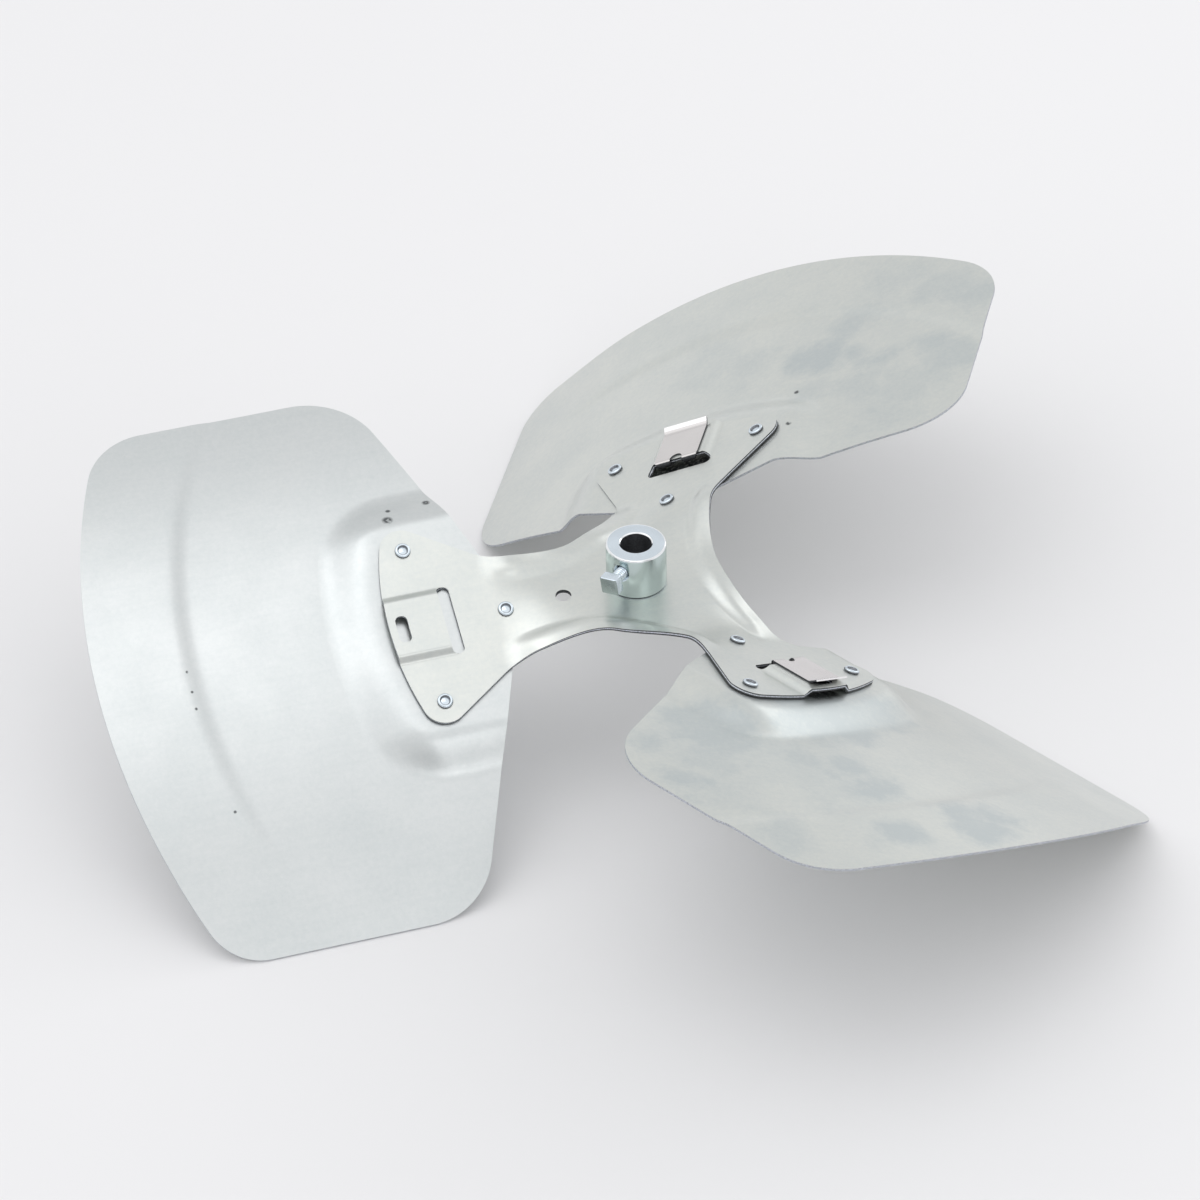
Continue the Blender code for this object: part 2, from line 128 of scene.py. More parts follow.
# camera: the photograph's frame is 1200 pixels square
VIEW_AZIMUTH, VIEW_ELEVATION = math.radians(-16.252), math.radians(38.968)
VIEW_ROLL, VIEW_DISTANCE = math.radians(1.086), 2.9526
FOCAL_PIXELS, FRAME_PIXELS = 5855.0, 1200.0
HUB_PIXEL = (636.62, 579.93)


class FanSizes(PropertyGroup):
    """Sizes that set how the fan's sheets are pressed."""
    pitch: FloatProperty(name="Blade pitch", description="Tilt of each pad about its arm",
                         default=math.radians(27.1), subtype="ANGLE")
    grain: FloatProperty(name="Sheet mesh", description="Size of a sheet's faces",
                         default=0.0028, unit="LENGTH")


class FanFinishes(PropertyGroup):
    """Colours and dullness of the fan's metals and of the floor."""
    blades: FloatVectorProperty(name="Blade sheet", description="Zinc coat of the blades",
                                default=(0.665, 0.685, 0.687), subtype="COLOR")
    spider: FloatVectorProperty(name="Spider sheet", description="Zinc coat of the spider",
                                default=(0.68, 0.695, 0.665), subtype="COLOR")
    tarnish: FloatVectorProperty(name="Tarnish", description="Zinc dulled by handling",
                                 default=(0.535, 0.575, 0.58), subtype="COLOR")
    # bare also gives the bore wall its near-black painted shade
    bare: FloatVectorProperty(name="Cut steel", description="Sheared edges and the bore",
                              default=(0.05, 0.052, 0.056), subtype="COLOR")
    zinc: FloatVectorProperty(name="Bright zinc", description="Hub, screw and rivets",
                              default=(0.71, 0.785, 0.85), subtype="COLOR")
    # painted shade: a darker, greener zinc for the hub's side, also darkened for the screw's end
    # face
    side_shade_zinc: FloatVectorProperty(name="Side shade zinc", description="Side of the hub",
                                    default=(0.54, 0.625, 0.61), subtype="COLOR")
    spring: FloatVectorProperty(name="Spring steel", description="Balance clips",
                                default=(0.70, 0.675, 0.67), subtype="COLOR")
    floor: FloatVectorProperty(name="Floor", description="Studio floor",
                               default=(0.815, 0.811, 0.822), subtype="COLOR")
    dullness: FloatProperty(name="Dullness", description="Roughness of the sheet",
                            default=0.31, min=0.05, max=1.0, subtype="FACTOR")


class FanStudio(PropertyGroup):
    """Lights around the fan."""
    room: FloatProperty(name="Room light", description="Brightness of the pale room",
                        default=1.0)
    softbox: FloatProperty(name="Softbox", description="Power of the box overhead",
                           default=3.5, unit="POWER")
    panel_power: FloatProperty(name="Front panel", description="Power of the panel at right",
                               default=3.6, unit="POWER")


def sizes():
    return bpy.context.scene.fan_sizes


def finishes():
    return bpy.context.scene.fan_finishes


def ease(value, start, end):
    """0 before start, 1 after end, and a smooth rise between them."""
    t = min(max((value - start) / (end - start), 0.0), 1.0)
    return t * t * (3.0 - 2.0 * t)


def ramp(value, start, end):
    """0 before start, 1 after end, and a straight rise with softened ends."""
    t = min(max((value - start) / (end - start), 0.0), 1.0)
    return 0.5 * t + 0.5 * t * t * (3.0 - 2.0 * t)


def rounded(corners, step=math.radians(4)):
    """Points of a closed outline of corners (x, y, radius), each made an arc."""
    points = []
    for i, (x, y, radius) in enumerate(corners):
        here = Vector((x, y))
        back = (Vector(corners[i - 1][:2]) - here).normalized()
        on = (Vector(corners[(i + 1) % len(corners)][:2]) - here).normalized()
        half = back.angle(on) / 2
        centre = here + (back + on).normalized() * radius / math.sin(half)
        first = here + back * radius / math.tan(half) - centre
        turn = math.pi - 2 * half
        if back.x * on.y - back.y * on.x > 0:
            turn = -turn
        count = max(2, round(abs(turn) / step))
        for k in range(count + 1):
            points.append(centre + Matrix.Rotation(turn * k / count, 2) @ first)
    return points


def circle(x, y, radius, count):
    turns = [math.tau * k / count for k in range(count)]
    return [Vector((x + radius * math.cos(t), y + radius * math.sin(t))) for t in turns]


def oblong(x, y, size_x, size_y):
    """A slot with round ends."""
    radius = 0.45 * min(size_x, size_y)
    hx, hy = size_x / 2, size_y / 2
    box = [(x - hx, y - hy), (x + hx, y - hy), (x + hx, y + hy), (x - hx, y + hy)]
    return rounded([(*corner, radius) for corner in box], math.radians(11.25))


def spaced(*spans):
    """Lines that divide spans (start, end, step), one after the other."""
    lines = [spans[0][0]]
    for start, end, step in spans:
        count = max(1, round((end - start) / step))
        lines += [start + (end - start) * (k + 1) / count for k in range(count)]
    return lines


def mirrored(lines):
    return [-x for x in reversed(lines) if x > 0] + lines


def select_only(*objects):
    bpy.ops.object.select_all(action="DESELECT")
    for obj in objects:
        obj.select_set(True)
    bpy.context.view_layer.objects.active = objects[0]


def edit_all(obj):
    """Enters edit mode on one object with everything in it selected."""
    select_only(obj)
    bpy.ops.object.mode_set(mode="EDIT")
    bpy.ops.mesh.select_all(action="SELECT")


def leave_edit():
    bpy.ops.object.mode_set(mode="OBJECT")


def apply_modifier(obj, kind, **settings):
    modifier = obj.modifiers.new(kind.lower(), kind)
    for key, value in settings.items():
        setattr(modifier, key, value)
    select_only(obj)
    bpy.ops.object.modifier_apply(modifier=modifier.name)


def cut(obj, tool, operation="DIFFERENCE"):
    """Cuts obj with a tool that is used up."""
    apply_modifier(obj, "BOOLEAN", operation=operation, object=tool, solver="EXACT")
    bpy.data.objects.remove(tool, do_unlink=True)


def grid_sheet(name, us, vs, thickness, arc_centre=None):
    """A flat sheet divided along the lines us and vs, its upper face at w = 0."""
    nu, nv = len(us) - 1, len(vs) - 1
    bpy.ops.object.select_all(action="DESELECT")
    bpy.ops.mesh.primitive_grid_add(x_subdivisions=nu, y_subdivisions=nv, size=1.0)
    obj = bpy.context.object
    obj.name = obj.data.name = name
    for vert in obj.data.vertices:
        u = us[round((vert.co.x + 0.5) * nu)]
        v = vs[round((vert.co.y + 0.5) * nv)]
        if arc_centre is not None:
            bend = max(u - arc_centre, 0.175)
            u -= bend - math.sqrt(bend * bend - v * v)
        vert.co = (u, v, 0.0)
    edit_all(obj)
    bpy.ops.mesh.extrude_region_move(TRANSFORM_OT_translate={"value": (0, 0, -thickness)})
    bpy.ops.mesh.select_all(action="SELECT")
    bpy.ops.mesh.normals_make_consistent(inside=False)
    leave_edit()
    return obj


def punch(loop, reach=0.010):
    """An upright tool with the given outline."""
    bpy.ops.object.select_all(action="DESELECT")
    bpy.ops.mesh.primitive_circle_add(vertices=len(loop), radius=1.0, fill_type="NGON")
    tool = bpy.context.object
    for vert, point in zip(tool.data.vertices, loop):
        vert.co = (point.x, point.y, -reach)
    edit_all(tool)
    bpy.ops.mesh.extrude_region_move(TRANSFORM_OT_translate={"value": (0, 0, 2 * reach)})
    bpy.ops.mesh.select_all(action="SELECT")
    bpy.ops.mesh.normals_make_consistent(inside=False)
    leave_edit()
    return tool


def edge_strips(obj, thickness):
    """Divides a flat sheet's sheared edge into three strips."""
    for depth in (0.30, 0.62):
        edit_all(obj)
        bpy.ops.mesh.bisect(plane_co=(0, 0, -depth * thickness), plane_no=(0, 0, 1),
                            threshold=1e-7)
        leave_edit()


def press(obj, surface):
    """Moves a flat sheet's vertices onto surface(u, v), keeping its thickness."""
    h = 0.0003
    for vert in obj.data.vertices:
        u, v, layer = vert.co
        here = surface(u, v)
        along = surface(u + h, v) - surface(u - h, v)
        across = surface(u, v + h) - surface(u, v - h)
        vert.co = here + along.cross(across).normalized() * layer
    obj.data.update()


def turned(name, profile, sides, hollow=False):
    """Turns a profile of (radius, height) points by extruding and scaling a ring."""
    bpy.ops.object.select_all(action="DESELECT")
    radius, height = profile[0]
    fill = "NOTHING" if hollow else "NGON"
    bpy.ops.mesh.primitive_circle_add(vertices=sides, radius=radius, fill_type=fill,
                                      location=(0, 0, height))
    obj = bpy.context.object
    obj.name = obj.data.name = name
    bpy.ops.object.transform_apply()
    edit_all(obj)
    for next_radius, next_height in profile[1:]:
        step = (0, 0, next_height - height)
        bpy.ops.mesh.extrude_region_move(TRANSFORM_OT_translate={"value": step})
        scale = next_radius / radius
        bpy.ops.transform.resize(value=(scale, scale, 1.0),
                                 center_override=(0, 0, next_height))
        radius, height = next_radius, next_height
    bpy.ops.mesh.select_all(action="SELECT")
    if hollow:
        bpy.ops.mesh.remove_doubles(threshold=1e-6)
    bpy.ops.mesh.normals_make_consistent(inside=False)
    leave_edit()
    return obj


def place(obj, matrix):
    """Puts an object's place and turn into its mesh."""
    obj.matrix_world = matrix @ obj.matrix_world
    select_only(obj)
    bpy.ops.object.transform_apply(location=True, rotation=True, scale=True)


def arm_matrix(angle):
    return Matrix.Translation((0, 0, PLATE_Z)) @ Matrix.Rotation(angle, 4, "Z")


def pad_matrix(angle):
    tilt = Matrix.Rotation(-sizes().pitch, 4, "X")
    return arm_matrix(angle) @ Matrix.Translation((0, 0, -PAD_DROP)) @ tilt


def screw_matrix():
    """From a screw along +Z, its tip at 0, to its place in the hub."""
    out = Matrix.Rotation(SCREW_ANGLE, 4, "Z") @ Matrix.Translation((SCREW_TIP, 0, SCREW_Z))
    return Matrix.Translation((0, 0, PLATE_Z)) @ out @ Matrix.Rotation(math.pi / 2, 4, "Y")


def use_metals(obj, *materials):
    """Gives a piece its metals without changing which face has which."""
    while len(obj.data.materials) < len(materials):
        obj.data.materials.append(None)
    for index, material in enumerate(materials):
        obj.data.materials[index] = material


def pick_faces(obj, metals, is_picked, index=1):
    """Gives one of the metals to the faces that is_picked(face) picks."""
    use_metals(obj, *metals)
    for face in obj.data.polygons:
        if is_picked(face):
            face.material_index = index


def finish(obj, metals, nodes, smooth=30):
    """Shades a piece, gives it its metals and ties it to the frame."""
    select_only(obj)
    bpy.ops.object.shade_smooth_by_angle(angle=math.radians(smooth))
    use_metals(obj, *metals)
    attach(obj, "root")
    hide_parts(*nodes)


def twisted(u, v, w):
    """Arm coordinates of a point w above the sheet that twists into the pad."""
    twist = ease(u, TWIST_FROM, TWIST_TO)
    angle = sizes().pitch * twist
    y = v * math.cos(angle) + w * math.sin(angle)
    z = w * math.cos(angle) - v * math.sin(angle)
    return Vector((u, y, z - PAD_DROP * twist))


def rim_height(u, v):
    """The raised rim that follows the hollow edge between two arms."""
    mid = math.radians(60)
    centre = (NECK_V + HOLLOW_R) / math.sin(mid)
    dx = u - centre * math.cos(mid)
    dy = abs(v) - centre * math.sin(mid)
    inset = math.hypot(dx, dy) - HOLLOW_R
    across = 1.0 - ease(inset, RIM_FLAT, RIM_FLAT + RIM_WIDTH)
    return RIM_H * across * (1.0 - ease(u, *RIM_FADE))


def bridge_height(u, v):
    if u < sum(SLOT_U) / 2:
        return 0.0
    return BRIDGE_H * (1.0 - ramp(abs(v), BRIDGE_TOP_V, BRIDGE_FOOT_V))


def spider_surface(u, v):
    return twisted(u, v, rim_height(u, v) + bridge_height(u, v))


def blade_height(u, v):
    """The blade's upper face: camber, the step along the tip, and the plateau."""
    reach = math.hypot(u - TIP_CENTRE_U, v)
    w = BLADE_W - (CAMBER_R - math.sqrt(CAMBER_R ** 2 - v * v))
    w += BEAD_H * ease(reach, *BEAD_R) * (1.0 - ease(v, *BEAD_FADE))
    side = max(abs(v) - PLATEAU_V + PLATEAU_CORNER, 0.0)
    end = max(reach - PLATEAU_REACH + PLATEAU_CORNER, 0.0)
    away = math.hypot(side, end) - PLATEAU_CORNER
    return PLATEAU_W + (w - PLATEAU_W) * ramp(away, 0.0, PLATEAU_RAMP)


def blade_surface(u, v):
    return twisted(u, v, blade_height(u, v))


def spider_outline():
    """The blank: three pads on necks, with a wide hollow between the arms."""
    arm = [(NECK_U, -NECK_V, NECK_R), (PAD_CORNER[0], -PAD_CORNER[1], PAD_CORNER_R),
           (PAD_APEX_U, 0.0, PAD_EDGE_R), (*PAD_CORNER, PAD_CORNER_R),
           (NECK_U, NECK_V, NECK_R), (NECK_V / math.sqrt(3), NECK_V, HOLLOW_R)]
    corners = []
    for turn in range(3):
        spin = Matrix.Rotation(turn * math.tau / 3, 2)
        corners += [(*(spin @ Vector((x, y))), radius) for x, y, radius in arm]
    return rounded(corners, math.radians(2))


def tip_corner(side, radius):
    """Where a corner arc leaves the tip arc, as an angle, and its sharp corner's u."""
    turn = math.asin((side - radius) / (TIP_R - radius))
    return turn, TIP_CENTRE_U + (TIP_R - side * math.sin(turn)) / math.cos(turn)


def blade_outline():
    (neck_u, neck_v), (edge_u, edge_v) = INNER_EDGE
    slope = (edge_u - neck_u) / (edge_v - neck_v)
    turn_cw, u_cw = tip_corner(BLADE_CW, TIP_CORNER_R[0])
    turn_ccw, u_ccw = tip_corner(BLADE_CCW, TIP_CORNER_R[1])
    apex = TIP_R / math.cos((turn_cw + turn_ccw) / 2)
    lean = (turn_ccw - turn_cw) / 2
    root_u, root_v = ROOT
    corners = [(root_u, -root_v, 0.006), (neck_u, -neck_v, 0.010),
               (edge_u + slope * (BLADE_CW - edge_v), -BLADE_CW, INNER_CORNER_R[0]),
               (u_cw, -BLADE_CW, TIP_CORNER_R[0]),
               (TIP_CENTRE_U + apex * math.cos(lean), apex * math.sin(lean), TIP_R),
               (u_ccw, BLADE_CCW, TIP_CORNER_R[1]),
               (edge_u + slope * (BLADE_CCW - edge_v), BLADE_CCW, INNER_CORNER_R[1]),
               (neck_u, neck_v, 0.010), (root_u, root_v, 0.006)]
    return rounded(corners, math.radians(1.2))


def add_node(tree, kind, inputs=None, **settings):
    """A shader node; an input is set to a value or linked from a socket."""
    made = tree.nodes.new("ShaderNode" + kind)
    for key, value in settings.items():
        setattr(made, key, value)
    for key, value in (inputs or {}).items():
        if isinstance(value, bpy.types.NodeSocket):
            tree.links.new(value, made.inputs[key])
        else:
            made.inputs[key].default_value = value
    return made


def math_node(tree, operation, first, second=0.0, clamp=False):
    return add_node(tree, "Math", {0: first, 1: second}, operation=operation,
                    use_clamp=clamp).outputs[0]


def mix_colour(tree, factor, low, high):
    made = add_node(tree, "Mix", {"Factor": factor}, data_type="RGBA")
    for index, value in ((6, low), (7, high)):
        if isinstance(value, bpy.types.NodeSocket):
            tree.links.new(value, made.inputs[index])
        else:
            made.inputs[index].default_value = (*value, 1.0)
    return made.outputs[2]


def span(tree, value, low, high, to_low=0.0, to_high=1.0):
    """A value's stretch from low to high spread over another, and held beyond."""
    return add_node(tree, "MapRange", {"Value": value, "From Min": low, "From Max": high,
                                       "To Min": to_low, "To Max": to_high}).outputs[0]


def turned_coordinates(tree, angle, stretch=(1.0, 1.0, 1.0)):
    """Object coordinates with X along an arm."""
    place_in = add_node(tree, "TexCoord").outputs["Object"]
    return add_node(tree, "Mapping", {"Vector": place_in, "Rotation": (0, 0, -angle),
                                      "Scale": stretch}).outputs[0]


def noise(tree, vector, scale, detail=3.0, roughness=0.5, distortion=0.0):
    return add_node(tree, "TexNoise", {"Vector": vector, "Scale": scale, "Detail": detail,
                                       "Roughness": roughness,
                                       "Distortion": distortion}).outputs["Fac"]


def spot(tree, centre, radius, soft=0.5):
    """1 within a radius of a point of the piece, and 0 outside it."""
    place_in = add_node(tree, "TexCoord").outputs["Object"]
    away = add_node(tree, "VectorMath", {0: place_in, 1: centre}, operation="DISTANCE")
    return span(tree, away.outputs["Value"], radius * (1 - soft), radius, 1.0, 0.0)


def blot(tree, centre, radius, ragged):
    """1 within a patch with an uneven edge, and 0 outside it."""
    place_in = add_node(tree, "TexCoord").outputs["Object"]
    away = add_node(tree, "VectorMath", {0: place_in, 1: centre}, operation="DISTANCE")
    reach = math_node(tree, "ADD", away.outputs["Value"], ragged)
    return span(tree, reach, 0.8 * radius + 0.024, 0.8 * radius + 0.038, 1.0, 0.0)


def metal(name, metallic=1.0):
    material = bpy.data.materials.new(name)
    material.use_nodes = True
    shader = material.node_tree.nodes["Principled BSDF"]
    shader.inputs["Metallic"].default_value = metallic
    return material, material.node_tree, shader


def galvanised(name, angle, coat, marks=(), stains=()):
    """Zinc-coated sheet: faint clouds, a fine grain, dulled stains, and dark marks that are
    partly painted shade.
    """
    material, tree, shader = metal(name, 0.94)
    along = turned_coordinates(tree, angle)
    drawn = turned_coordinates(tree, angle, (4.0, 70.0, 70.0))
    clouds = span(tree, noise(tree, along, 22.0, 6.0, 0.6), 0.33, 0.68)
    grain = noise(tree, along, 850.0, 2.0)
    streaks = span(tree, noise(tree, drawn, 5.0, 4.0, 0.6), 0.35, 0.70)
    wear = math_node(tree, "ADD", math_node(tree, "MULTIPLY", clouds, 0.30),
                     math_node(tree, "MULTIPLY", streaks, 0.12))
    specks = noise(tree, along, 420.0, 4.0, 0.7)
    wear = math_node(tree, "ADD", wear, span(tree, specks, 0.3, 0.7, -0.14, 0.20), clamp=True)
    ragged = math_node(tree, "ADD",
                       math_node(tree, "MULTIPLY", noise(tree, along, 30.0, 5.0, 0.65), 0.050),
                       math_node(tree, "MULTIPLY", noise(tree, along, 110.0, 3.0), 0.018))
    amount = None
    for centre, radius, strength in stains:
        inside = blot(tree, centre, radius, ragged)
        inside = math_node(tree, "MULTIPLY", inside, 0.80 * strength)
        if amount is None:
            amount = inside
        elif strength < 0:
            amount = math_node(tree, "ADD", amount, inside, clamp=True)
        else:
            amount = math_node(tree, "MAXIMUM", amount, inside)
    dull = math_node(tree, "MULTIPLY", grain, 0.08)
    dull = math_node(tree, "ADD", dull, math_node(tree, "MULTIPLY", clouds, 0.05))
    dull = math_node(tree, "ADD", dull, finishes().dullness - 0.05)
    if amount is not None:
        wear = math_node(tree, "ADD", wear, amount, clamp=True)
        dull = math_node(tree, "ADD", dull, math_node(tree, "MULTIPLY", amount, 0.08))
    colour = mix_colour(tree, wear, coat, finishes().tarnish)
    mark_mottle = span(tree, noise(tree, along, 500.0, 2.0), 0.36, 0.46, 0.25, 0.85)
    # near-black marks, made uneven by noise: real marks, and painted shade under the bridges
    for centre, radius in marks:
        inside = math_node(tree, "MULTIPLY", spot(tree, centre, radius, 0.5), mark_mottle)
        colour = mix_colour(tree, inside, colour, (0.035, 0.04, 0.045))
    tree.links.new(colour, shader.inputs["Base Color"])
    tree.links.new(dull, shader.inputs["Roughness"])
    bump = add_node(tree, "Bump", {"Height": grain, "Strength": 0.15, "Distance": 0.0001})
    tree.links.new(bump.outputs[0], shader.inputs["Normal"])
    return material


def cut_steel(name="cut_edge", light=1.0):
    """Bare sheared steel, dark with fine tear marks; light scales its colour, also for copies
    that paint shade and highlights.
    """
    material, tree, shader = metal(name, 0.8)
    place_in = add_node(tree, "TexCoord").outputs["Object"]
    tears = span(tree, noise(tree, place_in, 1500.0, 3.0), 0.35, 0.65)
    low = [light * channel for channel in finishes().bare]
    tint = mix_colour(tree, tears, low, [1.8 * channel for channel in low])
    tree.links.new(tint, shader.inputs["Base Color"])
    tree.links.new(span(tree, tears, 0.0, 1.0, 0.40, 0.60), shader.inputs["Roughness"])
    return material


def bright_zinc(name, colour, dullness, scale=160.0, upright=1.0):
    """Plated metal with a faint turned or drawn texture and dulled patches."""
    material, tree, shader = metal(name)
    place_in = turned_coordinates(tree, 0.0, (1.0, 1.0, upright))
    clouds = span(tree, noise(tree, place_in, scale, 4.0), 0.35, 0.70)
    grain = noise(tree, place_in, scale * 12, 2.0)
    tint = mix_colour(tree, math_node(tree, "MULTIPLY", clouds, 0.35), colour,
                      [channel * 0.85 for channel in colour])
    dull = span(tree, clouds, 0.0, 1.0, dullness, dullness + 0.10)
    tree.links.new(tint, shader.inputs["Base Color"])
    tree.links.new(dull, shader.inputs["Roughness"])
    bump = add_node(tree, "Bump", {"Height": grain, "Strength": 0.08, "Distance": 0.00005})
    tree.links.new(bump.outputs[0], shader.inputs["Normal"])
    return material


def on_blade(letter, u, v):
    """A place on a blade's upper face, in the frame."""
    return tuple(arm_matrix(ARMS[letter]) @ blade_surface(u, v))


# dulled patches on a blade's upper face: u, v and radius in mm, and strength
STAINS = {
    "b": ((180, -58, 24, 0.9), (181, -76, 14, 0.8), (172, -92, 15, 0.9), (210, -74, 22, 0.6),
          (226, -118, 27, 0.5), (221, -137, 18, 0.6), (186, -120, 15, 0.8),
          (168, -130, 26, 0.6), (150, -112, 30, 0.5), (150, -88, 24, 0.5),
          (154, -60, 18, 0.5), (250, -95, 25, 0.3), (124, -106, 22, 0.4),
          (198, 12, 30, 0.3), (190, -12, 22, 0.35), (204, -116, 17, -0.8),
          (196, -90, 15, -0.6), (165, -112, 10, -0.5), (130, -76, 18, -0.4)),
    "c": ((160, -80, 75, 0.35), (128, -84, 34, 0.8), (146, -104, 26, 0.7), (151, -131, 20, 0.9),
          (166, -62, 24, 0.7), (180, -50, 18, 0.9), (207, -52, 20, 0.9),
          (201, -66, 14, 0.5), (240, -31, 20, 1.0), (256, -34, 22, 1.0),
          (249, -14, 15, 0.9), (243, -79, 18, 0.9), (240, -97, 13, 0.6),
          (214, -130, 22, 0.5), (118, -118, 12, 0.8), (190, -100, 22, -0.4),
          (226, -106, 20, -0.4), (143, -34, 30, 0.8), (143, -4, 30, 0.9), (144, 24, 28, 0.8)),
}
# dark marks: u, v and radius in mm; those under a bridge are painted shade under the bridge and
# the clip, the rest real marks
MARKS_AND_BRIDGE_SHADE = {
    "a": ((113.9, -62.3, 3.2), (111.6, -68.8, 1.6), (91.4, -69.6, 2.4), (231.9, -3.8, 0.9),
          (232, 7.3, 0.9), (232.2, 16.6, 1.0), (225.9, 72.8, 1.0)),
    "b": ((113.5, -59.5, 1.8), (154, -51, 1.8), (98, 0, 9.5), (98, 11, 9.5), (98, -11, 9.5)),
    "c": ((98, 0, 9.5), (98, 11, 9.5), (98, -11, 9.5), (126, 0, 6.5), (125.5, 7, 6),
          (125.5, -7, 6)),
}


class FAN_OT_spider(Operator):
    """Presses the spider: three twisted arms with pads, rims, bridges and slots"""
    bl_idname = "fan.spider"
    bl_label = "Spider"

    def execute(self, context):
        step = sizes().grain * 0.7
        us = spaced((0.0, SLOT_U[0], step), (*SLOT_U, 0.0011), (SLOT_U[1], 0.134, step))
        vs = mirrored(spaced((0.0, BRIDGE_TOP_V - 0.001, step),
                             (BRIDGE_TOP_V - 0.001, BRIDGE_FOOT_V + 0.001, 0.0005),
                             (BRIDGE_FOOT_V + 0.001, 0.0560, step)))
        sector = grid_sheet("spider_sheet", us, vs, SPIDER_T)
        cut(sector, punch(spider_outline()), "INTERSECT")
        cut(sector, punch(circle(0, 0, PILOT_R + GAP, 72)))
        cut(sector, punch(oblong(*OBLONG_UV, *OBLONG_SIZE)))
        slot = (sum(SLOT_U) / 2, 0, SLOT_U[1] - SLOT_U[0], 2 * SLOT_HALF)
        cut(sector, punch(oblong(*slot)))
        for u, v in RIVET_UV.values():
            cut(sector, punch(circle(u, v, RIVET_R + GAP, 24)))
        edit_all(sector)
        ray = math.radians(60)
        for side in (1, -1):
            bpy.ops.mesh.select_all(action="SELECT")
            bpy.ops.mesh.bisect(plane_co=(0, 0, 0), clear_outer=True, threshold=1e-7,
                                plane_no=(-math.sin(ray), side * math.cos(ray), 0))
        leave_edit()
        edge_strips(sector, SPIDER_T)
        metals = (galvanised("galvanised_spider", 0.0, finishes().spider), cut_steel(),
                  cut_steel("burnished_edge_highlight", 9.0))
        pick_faces(sector, metals, lambda face: abs(face.normal.z) < 0.5)
        # the middle strip of the sheared edge: a burnished band, made light to paint the rounded
        # top edge's highlight
        pick_faces(sector, metals, lambda face: abs(face.normal.z) < 0.5
                   and 0.32 < -face.center.z / SPIDER_T < 0.60, 2)
        press(sector, spider_surface)
        arms = [sector]
        for _ in range(2):
            select_only(sector)
            bpy.ops.object.duplicate()
            arms.append(bpy.context.object)
        for arm, angle in zip(arms, ARMS.values()):
            place(arm, arm_matrix(angle))
        hole = punch(circle(-HOLE_U, 0, HOLE_R, 40))
        place(hole, Matrix.Translation((0, 0, PLATE_Z)))
        select_only(*arms)
        bpy.ops.object.join()
        edit_all(sector)
        bpy.ops.mesh.remove_doubles(threshold=2e-5)
        bpy.ops.mesh.normals_make_consistent(inside=False)
        leave_edit()
        cut(sector, hole)
        at_hole = Vector((-HOLE_U, 0, PLATE_Z))
        pick_faces(sector, metals, lambda face: abs(face.normal.z) < 0.5
                   and (face.center - at_hole).length < HOLE_R + SPIDER_T)
        finish(sector, metals, ["spider"])
        return {"FINISHED"}


class FAN_OT_blades(Operator):
    """Presses the three cambered blades with their plateaus and tip steps"""
    bl_idname = "fan.blades"
    bl_label = "Blades"

    def execute(self, context):
        step = sizes().grain
        us = spaced((0.056, 0.285, step))
        vs = mirrored(spaced((0.0, 0.150, step)))
        blank = grid_sheet("blade_sheet", us, vs, BLADE_T, TIP_CENTRE_U)
        cut(blank, punch(blade_outline()), "INTERSECT")
        for u, v in RIVET_UV.values():
            cut(blank, punch(circle(u, v, RIVET_R + GAP, 24)))
        # painted highlight: the blade's sheared edges get a much lighter copy of the cut steel
        edge = cut_steel("blade_edge_highlight", 7.0)
        pick_faces(blank, (edge, edge), lambda face: abs(face.normal.z) < 0.5)
        press(blank, blade_surface)
        for letter, angle in ARMS.items():
            select_only(blank)
            bpy.ops.object.duplicate()
            blade = bpy.context.object
            blade.name = blade.data.name = "blade_sheet_" + letter
            place(blade, arm_matrix(angle))
            finish(blade, (self.finish_of(letter), edge), ["blade_" + letter])
        bpy.data.objects.remove(blank, do_unlink=True)
        return {"FINISHED"}

    def finish_of(self, letter):
        stains = [(on_blade(letter, u / 1000, v / 1000), r / 1000, strength)
                  for u, v, r, strength in STAINS.get(letter, ())]
        # the marks include painted shade under the bridges of b and c
        marks = [(on_blade(letter, u / 1000, v / 1000), r / 1000)
                 for u, v, r in MARKS_AND_BRIDGE_SHADE[letter]]
        coat = finishes().blades if letter == "a" else finishes().spider
        return galvanised("galvanised_blade_" + letter, ARMS[letter], coat, marks, stains)


